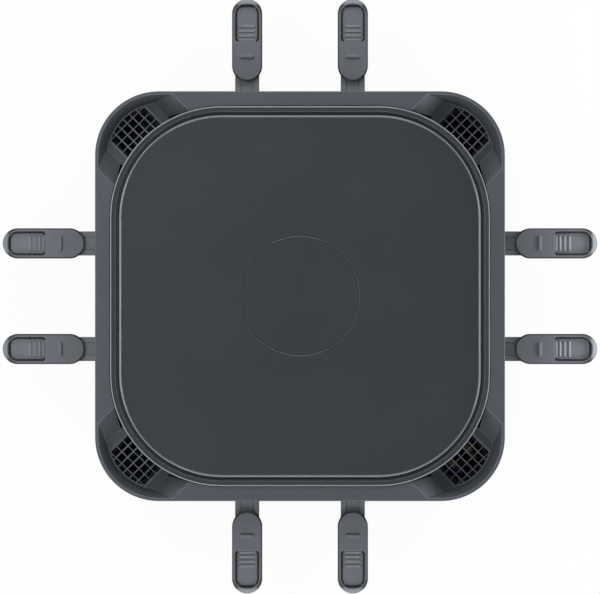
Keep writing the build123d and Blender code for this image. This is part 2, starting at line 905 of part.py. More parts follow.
def knob_shaft():
    knob_start = panel_face + dial_sheet + knob_gap
    shaft = Circle(shaft_radius) - Pos(0, shaft_radius) * Rectangle(2 * shaft_radius, 2 * knob_flat)
    tip = knob_start + knob_socket
    rod_back = facing_front(Pos(0, control_z) * Circle(shaft_radius), panel_back - bush_depth + fit, knob_start)
    return rod_back + facing_front(Pos(0, control_z) * shaft, knob_start, tip)


def knob():
    start = panel_face + dial_sheet + knob_gap
    end = start + knob_length
    body = facing_front(Pos(0, control_z) * Circle(knob_radius), start, start + knob_base)
    body = chamfer(body.edges().group_by(Axis.Y)[0], knob_bevel)
    bar = Circle(knob_radius - knob_bevel) & Rectangle(knob_grip_width, 2 * knob_radius)
    bar = facing_front(Pos(0, control_z) * bar, start, end)
    body += chamfer(bar.edges().group_by(Axis.Y)[0], knob_bevel)
    socket = Circle(shaft_radius) - Pos(0, shaft_radius) * Rectangle(2 * shaft_radius, 2 * knob_flat)
    body -= facing_front(Pos(0, control_z) * socket, start, start + knob_socket)
    pointer = Pos(0, control_z + knob_radius / 2) * Rectangle(pointer_width, knob_radius)
    return body - facing_front(pointer, end - pointer_depth, end)


# Pilot lamp behind its lens
lens_length = 6
lamp_radius = 3
lamp_length = 14


def pilot_lens():
    place = Pos(lamp_side, control_z)
    lens = facing_front(place * Circle(lens_head_radius), panel_face, panel_face + lens_head)
    lens += facing_front(place * Circle(lens_radius), panel_face - lens_length, panel_face)
    return lens


def pilot_lamp():
    back = panel_face - lens_length
    return facing_front(Pos(lamp_side, control_z) * Circle(lamp_radius), back - lamp_length, back)


# Cut-out, terminal block and leads
cutout_radius = 8
cutout_height = 7
cutout_x = 40
cutout_inset = 91.7
block_length = 34
block_width = 20
block_height = 13
block_wells = 3
block_well_radius = 2.6
block_well_depth = 6
block_inset = 71.7
cutout_y = cutout_inset - base_half
cutout_low = base_top - cutout_height
block_y = base_half - block_inset


def thermal_cutout():
    return Pos(cutout_x, cutout_y, 0) * rod(cutout_radius, cutout_low, base_top)


def terminal_block():
    block = prism(Pos(0, block_y) * Rectangle(block_length, block_width), base_floor, base_floor + block_height)
    pitch = block_length / block_wells
    top = base_floor + block_height
    for well in range(block_wells):
        across = (well - (block_wells - 1) / 2) * pitch
        for side in (-block_width / 4, block_width / 4):
            block -= Pos(across, block_y + side, 0) * rod(block_well_radius, top - block_well_depth, top)
    return block


def power_inlet():
    flange = Pos(0, inlet_z) * RectangleRounded(inlet_flange_width, inlet_flange_height, cavity_corner)
    body = Pos(0, inlet_z) * Rectangle(inlet_body_width, inlet_body_height)
    inlet = facing_back(flange, inlet_seat, inlet_face)
    inlet += facing_back(body, inlet_face - inlet_body_depth, inlet_seat)
    cavity = Pos(0, inlet_z) * RectangleRounded(cavity_width, cavity_height, cavity_corner)
    inlet -= facing_back(cavity, inlet_face - cavity_depth, inlet_face)
    for side in (-inlet_screw_side, inlet_screw_side):
        hole = Pos(side, inlet_z) * Circle(inner_screw_radius + screw_fit)
        inlet -= facing_back(hole, inlet_seat, inlet_face)
    return inlet


def inlet_pins():
    floor = inlet_face - cavity_depth
    places = [(-pin_spacing, -pin_drop), (pin_spacing, -pin_drop), (0, earth_pin_rise - pin_drop)]
    return [
        facing_back(Pos(x, inlet_z + z) * Rectangle(pin_width, pin_height), floor, floor + pin_length)
        for x, z in places
    ]


def small_screw():
    """Pan-head screw along Z, its head above the origin."""
    return screw(inner_screw_radius, -inner_screw_length, 0, inner_head_radius, inner_head_height)


def inlet_screws():
    out = Pos(0, inlet_face, inlet_z) * Rot(-quarter, 0, 0)
    return [Pos(side, 0, 0) * out * small_screw() for side in (-inlet_screw_side, inlet_screw_side)]


def inner_screws():
    return [place * Pos(0, 0, scoop_floor + shield_sheet) * small_screw() for place in shield_screw_places()]


# Leads in the base, as tubes from tag to tag
lead_radius = 1.3
lead_bend = 12
lead_tight_bend = 4.5
lead_tag_reach = 7
lead_low = 14
lead_middle = 19
lead_block_rise = 5
lead_run_in = 20
lead_side = 6
lead_turn_inset_x = 85
lead_turn_inset_y = 105
lead_pass = 60
lead_turn_x = body_half - lead_turn_inset_x
lead_turn_y = body_half - lead_turn_inset_y


def lead(*points):
    """A lead from its first to its last point, bent gently in the plan and tightly near its ends."""
    bends = [lead_tight_bend] + [lead_bend] * (len(points) - 4) + [lead_tight_bend]
    return tube(points, bends[: len(points) - 2], lead_radius)


def lead_down(across, z):
    """The first points of a lead from an element tag down through the column into the base."""
    start = terminal_out + tag_collar + tag_length
    out = start + lead_tag_reach
    return [
        at_front_corner(start, across, terminal_z),
        at_front_corner(out, across, terminal_z),
        at_front_corner(out, across, z),
    ]


def block_point(side, face, run):
    """A point before one of the terminal block's long faces."""
    across = side * block_length / block_wells
    return (across, block_y + face * (block_width / 2 + run), base_floor + lead_block_rise)


def wiring_live():
    back = -(panel_back - thermostat_depth)
    low, high = control_z - lead_side / 2, control_z + lead_side / 2
    lamp_back = -(panel_face - lens_length - lamp_length)
    inlet_back = inlet_face - inlet_body_depth
    return [
        lead(
            *lead_down(terminal_spacing / 2, lead_middle),
            (lead_turn_x, back + lead_run_in, lead_middle),
            (lead_side, back + lead_run_in, low),
            (lead_side, back, low),
        ),
        lead(
            block_point(-1, -1, 0),
            block_point(-1, -1, lead_run_in),
            (-lead_pass, 0, lead_low),
            (-lead_side, back + lead_run_in, low),
            (-lead_side, back, low),
        ),
        lead(
            (lamp_side, lamp_back, control_z),
            (lamp_side, lamp_back + lead_run_in / 2, control_z),
            (0, back + lead_run_in / 2, high),
            (0, back, high),
        ),
        lead(
            (-pin_spacing, inlet_back, inlet_z),
            (-pin_spacing, inlet_back - lead_run_in / 2, inlet_z),
            block_point(-1, 1, lead_run_in / 2),
            block_point(-1, 1, 0),
        ),
    ]


def wiring_neutral():
    inlet_back = inlet_face - inlet_body_depth
    return [
        lead(
            *lead_down(-terminal_spacing / 2, lead_low),
            (lead_turn_x, -lead_turn_y, lead_low),
            (lead_pass, lead_pass, lead_low),
            block_point(1, -1, lead_run_in),
            block_point(1, -1, 0),
        ),
        lead(
            (pin_spacing, inlet_back, inlet_z),
            (pin_spacing, inlet_back - lead_run_in / 2, inlet_z),
            block_point(1, 1, lead_run_in / 2),
            block_point(1, 1, 0),
        ),
    ]


def wiring_earth():
    inlet_back = inlet_face - inlet_body_depth
    rise = inlet_z + earth_pin_rise
    return [
        lead(
            (0, inlet_back, rise),
            (0, inlet_back - lead_run_in / 2, rise),
            (lead_pass, inlet_back - lead_run_in / 2, rise),
            (lead_pass, inlet_back - lead_run_in / 2, base_top),
        )
    ]


def main():
    os.makedirs("parts", exist_ok=True)
    save("feet", *feet())
    save("base_shell", base_shell())
    save("tie_screws", *tie_screws())
    save("pan_deck", pan_deck())
    save("column_front_right", front_right_column())
    names = ("column_back_right", "column_back_left", "column_front_left")
    for corner, name in enumerate(names):
        save(name, turned(column(), diagonal + corner * quarter))
    save("top_frame", top_frame())
    grid = vent_grid()
    grid_names = ("back_right", "back_left", "front_left", "front_right")
    for corner, name in enumerate(grid_names):
        save(f"vent_grid_{name}", turned(grid, diagonal + corner * quarter))
    save("heat_shield", heat_shield())
    save("inner_screws", *inner_screws())
    save("heating_element", heating_element())
    save("element_supports", *element_supports())
    save("element_clips", *element_clips())
    save("element_bushes", *element_bushes())
    save("element_terminals", *element_terminals())
    save("thermostat", thermostat())
    save("dial_ring", dial_ring())
    save("knob_shaft", knob_shaft())
    save("knob", knob())
    save("pilot_lens", pilot_lens())
    save("pilot_lamp", pilot_lamp())
    save("thermal_cutout", thermal_cutout())
    save("terminal_block", terminal_block())
    save("wiring_live", *wiring_live())
    save("wiring_neutral", *wiring_neutral())
    save("wiring_earth", *wiring_earth())
    save("power_inlet", power_inlet())
    save("inlet_pins", *inlet_pins())
    save("inlet_screws", *inlet_screws())
    save("grill_plate", grill_plate())
    dish, neck, grip = pan_dish(), pan_neck(), pan_grip()
    for pan, place in enumerate(pan_places(), start=1):
        save(f"pan_dish_{pan}", place * dish)
        save(f"pan_neck_{pan}", place * neck)
        save(f"pan_grip_{pan}", place * grip)


main()
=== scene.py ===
import json
import math

import bmesh
import bpy
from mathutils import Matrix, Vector


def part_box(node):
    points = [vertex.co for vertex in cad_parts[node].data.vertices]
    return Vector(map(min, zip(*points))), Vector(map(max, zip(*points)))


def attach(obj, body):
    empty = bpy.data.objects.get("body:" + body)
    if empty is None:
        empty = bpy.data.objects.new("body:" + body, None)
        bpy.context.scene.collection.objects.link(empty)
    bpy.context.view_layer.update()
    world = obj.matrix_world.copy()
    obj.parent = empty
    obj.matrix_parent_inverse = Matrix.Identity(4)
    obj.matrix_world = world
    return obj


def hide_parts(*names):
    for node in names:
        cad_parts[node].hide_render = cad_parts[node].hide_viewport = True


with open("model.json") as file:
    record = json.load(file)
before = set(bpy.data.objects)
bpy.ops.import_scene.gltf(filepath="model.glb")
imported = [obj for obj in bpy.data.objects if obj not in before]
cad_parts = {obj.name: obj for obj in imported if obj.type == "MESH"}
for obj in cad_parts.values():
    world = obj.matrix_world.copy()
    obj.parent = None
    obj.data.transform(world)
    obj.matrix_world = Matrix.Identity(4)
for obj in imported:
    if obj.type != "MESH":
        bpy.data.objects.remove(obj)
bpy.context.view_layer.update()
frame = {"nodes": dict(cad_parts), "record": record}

millimetre = 0.001
print("frame loaded:", len(frame["nodes"]), "nodes")


# One value in a node tree, so that sums on it read like ordinary sums.
class Signal:
    def __init__(self, graph, socket):
        self.graph = graph
        self.socket = socket

    def __add__(self, other):
        return self.graph.maths("ADD", self, other)

    def __sub__(self, other):
        return self.graph.maths("SUBTRACT", self, other)

    def __rsub__(self, other):
        return self.graph.maths("SUBTRACT", other, self)

    def __mul__(self, other):
        return self.graph.maths("MULTIPLY", self, other)

    __radd__ = __add__
    __rmul__ = __mul__


# A node tree that is filled by one general method.
class Graph:
    def __init__(self, tree):
        self.tree = tree

    def fill(self, socket, value):
        if isinstance(value, Signal):
            self.tree.links.new(value.socket, socket)
        else:
            socket.default_value = value

    def maths(self, operation, first, second=0.0):
        return self.node("ShaderNodeMath", {"operation": operation}, {0: first, 1: second})

    # The three parts of a vector.
    def parts(self, vector):
        split = self.node("ShaderNodeSeparateXYZ", {}, {0: vector})
        return [Signal(self, socket) for socket in split.socket.node.outputs]

    # Any node: its type, its settings, the values or links of its sockets, and the output used.
    def node(self, kind, settings=None, inputs=None, output=0):
        made = self.tree.nodes.new(kind)
        for word, value in (settings or {}).items():
            setattr(made, word, value)
        for word, value in (inputs or {}).items():
            self.fill(made.inputs[word], value)
        return Signal(self, made.outputs[output])


# A Geometry Nodes tree with named inputs, run once on a starting mesh to give a plain mesh.
class Shaper(Graph):
    def __init__(self, name, **sizes):
        super().__init__(bpy.data.node_groups.new(name, "GeometryNodeTree"))
        interface = self.tree.interface
        interface.new_socket("Geometry", in_out="INPUT", socket_type="NodeSocketGeometry")
        interface.new_socket("Geometry", in_out="OUTPUT", socket_type="NodeSocketGeometry")
        self.values = {}
        for word, value in sizes.items():
            kind = "NodeSocketInt" if isinstance(value, int) else "NodeSocketFloat"
            slot = interface.new_socket(word, in_out="INPUT", socket_type=kind)
            self.values[slot.identifier] = value
        self.start = self.tree.nodes.new("NodeGroupInput")
        self.end = self.tree.nodes.new("NodeGroupOutput")

    def size(self, word):
        return Signal(self, self.start.outputs[word])

    # Real geometry with its material, as a mesh with no modifier left.
    def mesh(self, shape, material, begin):
        real = self.node("GeometryNodeRealizeInstances", {}, {0: shape})
        dressed = self.node("GeometryNodeSetMaterial", {}, {0: real, "Material": material})
        self.fill(self.end.inputs[0], dressed)
        helper = bpy.data.objects.new("helper", begin)
        bpy.context.scene.collection.objects.link(helper)
        modifier = helper.modifiers.new("shaper", "NODES")
        modifier.node_group = self.tree
        for identifier, value in self.values.items():
            modifier[identifier] = value
        ready = bpy.context.evaluated_depsgraph_get()
        made = bpy.data.meshes.new_from_object(helper.evaluated_get(ready))
        helper.modifiers.clear()
        bpy.data.objects.remove(helper)
        return made


# A material with one principled shader; constants go straight onto its sockets.
class Finish(Graph):
    def __init__(self, name, **constants):
        self.material = bpy.data.materials.new(name)
        self.material.use_nodes = True
        super().__init__(self.material.node_tree)
        self.tree.nodes.clear()
        self.shader = self.tree.nodes.new("ShaderNodeBsdfPrincipled")
        self.end = self.tree.nodes.new("ShaderNodeOutputMaterial")
        self.tree.links.new(self.shader.outputs[0], self.end.inputs["Surface"])
        for word, value in constants.items():
            self.set(word.replace("_", " "), value)
        self.place = self.node("ShaderNodeTexCoord", output="Object")

    def set(self, socket, value):
        self.fill(self.shader.inputs[socket], value)

    # Cloudy noise about so many millimetres across, from 0 to 1.
    def clouds(self, size, detail=2.0, place=None):
        scale = 1 / (size * millimetre)
        inputs = {"Vector": place or self.place, "Scale": scale, "Detail": detail}
        return self.node("ShaderNodeTexNoise", {}, inputs)

    # Noise drawn out along one axis, as in a brushed or rolled sheet.
    def brushed(self, size, stretch):
        spread = self.node("ShaderNodeMapping", {}, {"Vector": self.place, "Scale": stretch})
        return self.clouds(size, detail=3.0, place=spread)

    # From 0 to 1 as a value goes from low to high.
    def ramp(self, value, low, high):
        inputs = {"Value": value, "From Min": low, "From Max": high}
        return self.node("ShaderNodeMapRange", {}, inputs)

    # From 0 to 1 as a length goes past so many millimetres, over a width in millimetres.
    def rise(self, length, start, width):
        return self.ramp(length, start * millimetre, (start + width) * millimetre)

    # 1 between two heights in millimetres, and 0 outside.
    def band(self, height, low, high, fadeIn, fadeOut):
        return self.rise(height, low, fadeIn) * (1 - self.rise(height, high, fadeOut))

    # From one plain colour to another.
    def blend(self, factor, first, second):
        return self.mixed(factor, (*first, 1), second)

    # From a tone that is there already to a plain colour.
    def mixed(self, factor, tone, colour):
        inputs = {0: factor, 6: tone, 7: (*colour, 1)}  # 6 and 7 are the two colours
        return self.node("ShaderNodeMix", {"data_type": "RGBA"}, inputs, 2)

    # The normal with edges rounded off by so many millimetres.
    def rounded(self, width, samples):
        return self.node("ShaderNodeBevel", {"samples": samples}, {"Radius": width * millimetre})

    # From 0 on flat faces to 1 along sharp edges, over about so many millimetres.
    def edges(self, width, highlighted=0.90, unhighlighted=0.99):
        flat = self.node("ShaderNodeNewGeometry", output="Normal")
        inputs = {0: self.rounded(width, samples=6), 1: flat}
        agreement = self.node("ShaderNodeVectorMath", {"operation": "DOT_PRODUCT"}, inputs, "Value")
        return 1 - self.ramp(agreement, highlighted, unhighlighted)

    # Small bumps, on top of edges that are rounded off by so many millimetres.
    def bumps(self, height, strength, depth, edge=0.5):
        inputs = {"Height": height, "Strength": strength, "Distance": depth * millimetre,
                  "Normal": self.rounded(edge, samples=4)}
        self.set("Normal", self.node("ShaderNodeBump", {}, inputs))


def shaded(colour, factor):
    return tuple(channel * factor for channel in colour)


# Grips: where the recess, its ribs and the tip's bevel are, in millimetres, and how much painted
# shade and painted highlight they get.
gripForm = {
    "tipFromMiddle": 294.4,   # the recess's far end, from the grill's middle
    "wallWidth": 3.4,
    "pairOffset": 53.3,       # a grip's own middle line, from the grill's
    "wallFromOffset": 8.6,
    "floorBelowTop": 4.4,
    "edgeBelowTop": 0.2,
    "ribReach": 8.0,
    "ribsFrom": 256.5,
    "ribsTo": 276.0,
    "ribBelowTop": 3.7,
    "bevelStart": 295.6,
    "bevelDrop": 2.2,
    "barHeight": 1.9,
    "fade": 0.4,
    "wallPaintedShade": 0.12,            # the colour times this on the recess's walls, as painted shade
    "paintedHighlightGain": 1.45,             # the colour times this on ribs and bevel, as painted highlight
    "floorHighlightShare": 0.45,       # how much of that painted highlight the recess's floor gets
}


# Where a grip gets painted shade (the recess's walls) and painted highlight (ribs, the recess's
# floor and the tip's bevel), whichever way it points; each row is a share and a colour.
def gripPaintedLight(finish):
    size = gripForm
    fade = size["fade"]
    tip = size["tipFromMiddle"]
    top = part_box("pan_grip_1")[1].z / millimetre - size["barHeight"]
    floor = top - size["floorBelowTop"]
    across, along, up = finish.parts(finish.place)
    across, along = finish.maths("ABSOLUTE", across), finish.maths("ABSOLUTE", along)
    out = finish.maths("MAXIMUM", across, along)
    fromPair = finish.maths("MINIMUM", across, along) - size["pairOffset"] * millimetre
    aside = finish.maths("ABSOLUTE", fromPair)
    underEdge = 1 - finish.rise(up, top - size["edgeBelowTop"] - fade, fade)

    # Painted shade: the recess's walls darkened where shade falls.
    sideWalls = finish.rise(aside, size["wallFromOffset"], fade)
    endWall = finish.rise(out, tip - size["wallWidth"], fade)
    wall = finish.maths("MAXIMUM", sideWalls, endWall) * (1 - finish.rise(out, tip - fade, fade))
    wall = wall * finish.rise(up, floor + fade, fade) * underEdge

    # Painted highlight on the ribs, the recess's floor and the tip's bevel.
    ribs = finish.rise(out, size["ribsFrom"], fade) * (1 - finish.rise(out, size["ribsTo"], fade))
    ribs = ribs * (1 - finish.rise(aside, size["ribReach"], fade))
    ribs = ribs * finish.rise(up, top - size["ribBelowTop"], fade) * underEdge

    bottom = (1 - finish.rise(up, floor, fade)) * finish.rise(up, floor - 2 * fade, fade)
    bottom = bottom * size["floorHighlightShare"]
    bevelTop = finish.rise(up, top - size["bevelDrop"] - fade, fade)
    bevel = finish.rise(out, size["bevelStart"], fade) * bevelTop
    highlighted = finish.maths("MAXIMUM", finish.maths("MAXIMUM", ribs, bottom), bevel)
    return [(wall, shaded(gripGrey, size["wallPaintedShade"])), (highlighted, shaded(gripGrey, size["paintedHighlightGain"]))]


# Dial: plain marks round the knob, in millimetres and degrees, clockwise from the top.
dialMarks = {
    "inner": 12.5,
    "outer": 14.6,
    "halfWidth": 0.35,
    "step": 30.0,
    "gapFrom": -75.0,
    "gapTo": -15.0,
    "fade": 0.1,
    "shade": (0.55, 0.56, 0.57),
}


# Where the dial is printed, as a share and a colour.
def dialTouches(finish):
    size = dialMarks
    fade = size["fade"]
    low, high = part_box("dial_ring")
    across, along, up = finish.parts(finish.place)
    up = up - (low.z + high.z) / 2
    angle = finish.maths("ARCTAN2", across, up)
    radius = finish.maths("SQRT", across * across + up * up)
    beside = finish.maths("PINGPONG", angle, math.radians(size["step"] / 2)) * radius
    marks = 1 - finish.rise(beside, size["halfWidth"], fade)
    marks = marks * finish.rise(radius, size["inner"], fade)
    marks = marks * (1 - finish.rise(radius, size["outer"], fade))
    gapFrom, gapTo = math.radians(size["gapFrom"]), math.radians(size["gapTo"])
    gap = finish.ramp(angle, gapFrom, gapFrom + fade)
    gap = gap * (1 - finish.ramp(angle, gapTo - fade, gapTo))
    return [(marks * (1 - gap), size["shade"])]


# Spark-eroded moulding: a fine even grain with slightly uneven gloss. Sizes are in millimetres.
mouldedLook = {
    "flowSize": 55,
    "darkest": 0.93,
    "lightest": 1.07,
    "flowGloss": 0.12,
    "grainGloss": 0.1,
    "grainStrength": 0.35,
    "edgeWidth": 0.6,
}


def mouldedFinish(name, colour, roughness=0.5, grainSize=0.9, grainDepth=0.05, touches=None,
                  edgeHighlight=0):
    look = mouldedLook
    finish = Finish(name, IOR=1.5)
    grain = finish.clouds(grainSize, detail=3.0)
    flow = finish.clouds(look["flowSize"], detail=3.0)
    tone = finish.blend(flow, shaded(colour, look["darkest"]), shaded(colour, look["lightest"]))
    for share, touched in touches(finish) if touches else ():
        tone = finish.mixed(share, tone, touched)
    # Painted highlight: the colour made lighter along sharp edges.
    if edgeHighlight:
        tone = finish.mixed(finish.edges(look["edgeWidth"]), tone, shaded(colour, edgeHighlight))
    finish.set("Base Color", tone)
    gloss = roughness + (flow - 0.5) * look["flowGloss"] + (grain - 0.5) * look["grainGloss"]
    finish.set("Roughness", gloss)
    finish.bumps(grain, look["grainStrength"], grainDepth)
    return finish.material


# Sprayed non-stick coat: orange peel, faint lighter flecks and a soft sheen.
coatedLook = {
    "coat": 0.5,
    "peelSize": 2.2,
    "peelGloss": 0.14,
    "peelStrength": 0.25,
    "peelDepth": 0.06,
    "fleckSize": 0.8,
    "fleckFrom": 0.60,
    "fleckTo": 0.72,
    "fleckLight": 1.7,
    "driftSize": 90,
    "darkest": 0.95,
    "lightest": 1.05,
    "driftGloss": 0.06,
    "fadeIn": 0.25,
    "fadeOut": 0.1,
    "paintedShadeDark": 0.6,
    "shadeBandRoughness": 0.25,
}
# Painted highlight on the plate's crests and painted shade low down, each between two heights in
# mm.
platePaintedLight = {
    "paintedHighlights": [(119.25, 130), (114.05, 114.9)],
    "paintedShades": [(100, 112.9), (114.9, 119.0)],
}


def coatedFinish(name, colour, roughness=0.42, fleck=0.35, paintedHighlights=(), paintedShades=()):
    look = coatedLook
    finish = Finish(name, IOR=1.6, Coat_Weight=look["coat"], Coat_Roughness=0.16, Coat_IOR=1.6)
    peel = finish.clouds(look["peelSize"], detail=2.0)
    flecks = finish.clouds(look["fleckSize"], detail=1.0)
    flecks = finish.ramp(flecks, look["fleckFrom"], look["fleckTo"]) * fleck
    drift = finish.clouds(look["driftSize"], detail=2.0)
    tone = finish.blend(drift, shaded(colour, look["darkest"]), shaded(colour, look["lightest"]))
    tone = finish.mixed(flecks, tone, shaded(colour, look["fleckLight"]))
    gloss = roughness + (peel - 0.5) * look["peelGloss"] + (drift - 0.5) * look["driftGloss"]
    up = finish.parts(finish.place)[2]
    fades = look["fadeIn"], look["fadeOut"]
    # Painted highlight along the lip's and the bead's crests.
    for low, high in paintedHighlights:
        tone = finish.mixed(finish.band(up, low, high, *fades), tone, paintedHighlightGrey)
    # Painted shade in the gutter and on the lip's inner slope, with a duller gloss there.
    if paintedShades:
        shadeBands = sum(finish.band(up, low, high, *fades) for low, high in paintedShades)
        tone = finish.mixed(shadeBands, tone, shaded(colour, look["paintedShadeDark"]))
        gloss = gloss + shadeBands * look["shadeBandRoughness"]
        finish.set("Coat Weight", (1 - shadeBands) * look["coat"])
    finish.set("Base Color", tone)
    finish.set("Roughness", gloss)
    finish.bumps(peel, look["peelStrength"], look["peelDepth"])
    return finish.material


# Rolled or brushed metal, with its lines along the axis that is least stretched.
metalLook = {
    "stainSize": 24,
    "stainFrom": 0.35,
    "stainTo": 0.75,
    "stainDark": 0.82,
    "lineGloss": 0.25,
    "lineStrength": 0.2,
    "lineDepth": 0.03,
}


def metalFinish(name, colour, roughness, stretch, lineSize=0.5, tarnish=None, metallic=1.0):
    look = metalLook
    finish = Finish(name, Metallic=metallic)
    lines = finish.brushed(lineSize, stretch)
    stain = finish.clouds(look["stainSize"], detail=4.0)
    stain = finish.ramp(stain, look["stainFrom"], look["stainTo"])
    stained = tarnish or shaded(colour, look["stainDark"])
    finish.set("Base Color", finish.blend(stain, colour, stained))
    finish.set("Roughness", roughness + (lines - 0.5) * look["lineGloss"])
    finish.bumps(lines, look["lineStrength"], look["lineDepth"])
    return finish.material


# Plain soft or fired stuff with a fine pitted surface.
pittedLook = {
    "darkest": 0.85,
    "lightest": 1.12,
    "pitGloss": 0.15,
    "pitStrength": 0.4,
}


def pittedFinish(name, colour, roughness, pitSize, pitDepth):
    look = pittedLook
    finish = Finish(name, IOR=1.5)
    pits = finish.clouds(pitSize, detail=4.0)
    tone = finish.blend(pits, shaded(colour, look["darkest"]), shaded(colour, look["lightest"]))
    finish.set("Base Color", tone)
    finish.set("Roughness", roughness + (pits - 0.5) * look["pitGloss"])
    finish.bumps(pits, look["pitStrength"], pitDepth)
    return finish.material


# Clear coloured moulding with faint flow lines.
clearLook = {
    "clearness": 0.6,
    "rippleSize": 3,
    "darkest": 0.8,
    "roughness": 0.08,
    "rippleGloss": 0.08,
}


def clearFinish(name, colour):
    look = clearLook
    finish = Finish(name, IOR=1.49, Transmission_Weight=look["clearness"])
    ripple = finish.clouds(look["rippleSize"], detail=2.0)
    finish.set("Base Color", finish.blend(ripple, colour, shaded(colour, look["darkest"])))
    finish.set("Roughness", look["roughness"] + ripple * look["rippleGloss"])
    return finish.material


alongX = (0.02, 1, 1)  # how metal's lines are drawn out
alongY = (1, 0.02, 1)
evenly = (1, 1, 1)
shellGrey = (0.058, 0.062, 0.068)
# The painted highlight's colour on the plate's crests.
paintedHighlightGrey = (0.22, 0.23, 0.245)
gripGrey = (0.120, 0.126, 0.134)
neckGrey = (0.20, 0.206, 0.217)
finishes = {
    # The shell's sharp edges get a painted highlight.
    "moulded_shell": mouldedFinish("mouldedShell", shellGrey, 0.48, edgeHighlight=6),
    "grid_moulding": mouldedFinish("gridMoulding", shaded(shellGrey, 2.6), 0.4),
    # The grips get painted shade in their recesses and painted highlight on ribs, floor and bevel.
    "grip_moulding": mouldedFinish("gripMoulding", gripGrey, 0.38, 0.7, touches=gripPaintedLight),
    "knob_moulding": mouldedFinish("knobMoulding", shellGrey, 0.42),
    "dial_print": mouldedFinish("dialRing", shaded(shellGrey, 0.6), 0.4, touches=dialTouches),
    "inner_moulding": mouldedFinish("innerMoulding", (0.022, 0.022, 0.024), 0.5),
    # The plate's coat, with painted highlight on its crests and painted shade in its low parts.
    "plate_coating": coatedFinish("plateCoating", (0.023, 0.025, 0.028), 0.36, **platePaintedLight),
    "pan_coating": coatedFinish("panCoating", (0.035, 0.036, 0.038), 0.38),
    "deck_enamel": coatedFinish("deckEnamel", (0.022, 0.023, 0.025), 0.25, 0.6),
    "bright_sheet": metalFinish("brightSheet", (0.60, 0.60, 0.58), 0.32, alongX),
    "element_tube": metalFinish("elementTube", (0.30, 0.28, 0.25), 0.42, evenly, 1.5,
                                (0.16, 0.12, 0.11)),
    "contact_brass": metalFinish("contactBrass", (0.24, 0.185, 0.10), 0.45, evenly),
    "zinc_screw": metalFinish("zincScrew", (0.60, 0.60, 0.57), 0.35, evenly),
    "bush_ceramic": pittedFinish("bushCeramic", (0.78, 0.76, 0.70), 0.6, 0.8, 0.05),
    "foot_rubber": pittedFinish("footRubber", (0.022, 0.022, 0.023), 0.75, 0.5, 0.06),
    "lead_brown": pittedFinish("leadBrown", (0.13, 0.05, 0.025), 0.4, 1.5, 0.02),
    "lead_blue": pittedFinish("leadBlue", (0.02, 0.05, 0.16), 0.4, 1.5, 0.02),
    "lead_green": pittedFinish("leadGreen", (0.10, 0.28, 0.05), 0.4, 1.5, 0.02),
    "lens_red": clearFinish("lensRed", (0.62, 0.04, 0.02)),
    "lamp_glass": clearFinish("lampGlass", (0.85, 0.75, 0.66)),
}
neckAlongX = metalFinish("neckAlongX", neckGrey, 0.5, alongX, 0.8, metallic=0.3)
neckAlongY = metalFinish("neckAlongY", neckGrey, 0.5, alongY, 0.8, metallic=0.3)
print("finishes made:", len(finishes) + 2)


def giveFinish(piece, material):
    piece.data.materials.clear()
    piece.data.materials.append(material)


# Every CAD piece gets its slot's finish; the necks' lines run along each neck.
def dressNodes():
    slots = {row["node"]: row["material_slot"] for row in frame["record"]["subparts"]}
    for name, piece in frame["nodes"].items():
        if slots[name] == "neck_steel":
            low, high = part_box(name)
            wide = high.x - low.x > high.y - low.y
            giveFinish(piece, neckAlongX if wide else neckAlongY)
        else:
            giveFinish(piece, finishes[slots[name]])


dressNodes()
print("CAD nodes dressed")


def addPiece(name, mesh, body, slot, *nodes):
    piece = bpy.data.objects.new(name, mesh)
    bpy.context.scene.collection.objects.link(piece)
    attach(piece, body)
    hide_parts(*nodes)


def smoothed(mesh):
    for face in mesh.polygons:
        face.use_smooth = True
    return mesh


# Grill plate: its rim is one profile swept round a rounded square, and a floor and an underside
# close it. Sizes are in millimetres, angles in degrees.
grillPlate = {
    "half": 190.0,
    "corner": 112.0,
    "cornerPoints": 40,
    "roundSteps": 4,
    "floorHeight": 113.1,
    "markRadius": 59.7,
    "markWidth": 1.4,
    "markSlope": 1.0,
    "markDepth": 0.7,
    "markPoints": 128,
    "sharpAngle": 26,
    "flatAngle": 0.0573,
    "rim": [
        # inset from the lip's outer edge, height, rounding
        (14.0, 107.6, 0),    # underside
        (4.5, 107.6, 2.0),
        (4.5, 112.3, 0),
        (0, 112.3, 0.3),     # lip
        (0, 119.5, 0.35),
        (1.2, 119.5, 0.3),
        (2.4, 115.6, 0.3),   # step
        (5.0, 115.2, 0.15),
        (5.9, 112.0, 0.4),   # gutter
        (7.4, 112.0, 0.4),
        (9.2, 114.3, 0.4),   # bead
        (9.8, 114.3, 0.3),
        (11.1, 113.1, 0.3),  # cooking floor
        (14.0, 113.1, 0),
    ],
}


# A line of points with its corners rounded; each row is two sizes and a rounding, in millimetres.
def roundedLine(rows, steps):
    line = []
    for index, (across, up, radius) in enumerate(rows):
        corner = Vector((across, up))
        if not radius or index in (0, len(rows) - 1):
            line.append(corner)
            continue
        back = (Vector(rows[index - 1][:2]) - corner).normalized()
        ahead = (Vector(rows[index + 1][:2]) - corner).normalized()
        half = back.angle(ahead) / 2
        reach = radius / math.tan(half)
        centre = corner + (back + ahead).normalized() * radius / math.sin(half)
        first, last = corner + back * reach - centre, corner + ahead * reach - centre
        for step in range(steps + 1):
            spoke = first.slerp(last, step / steps).normalized() * radius
            line.append(centre + spoke)
    return line


# A mesh of edges alone, which a sweep takes as its profile.
def lineMesh(points):
    mesh = bpy.data.meshes.new("line")
    edges = [(index, index + 1) for index in range(len(points) - 1)]
    mesh.from_pydata([(x * millimetre, y * millimetre, 0) for x, y in points], edges, [])
    return mesh


# A ring of new corners round the middle, at one height, in metres.
def ringOfVerts(shape, radius, height, count):
    loop = []
    for step in range(count):
        turn = math.tau * step / count
        place = (radius * math.cos(turn), radius * math.sin(turn), height)
        loop.append(shape.verts.new(place))
    return loop


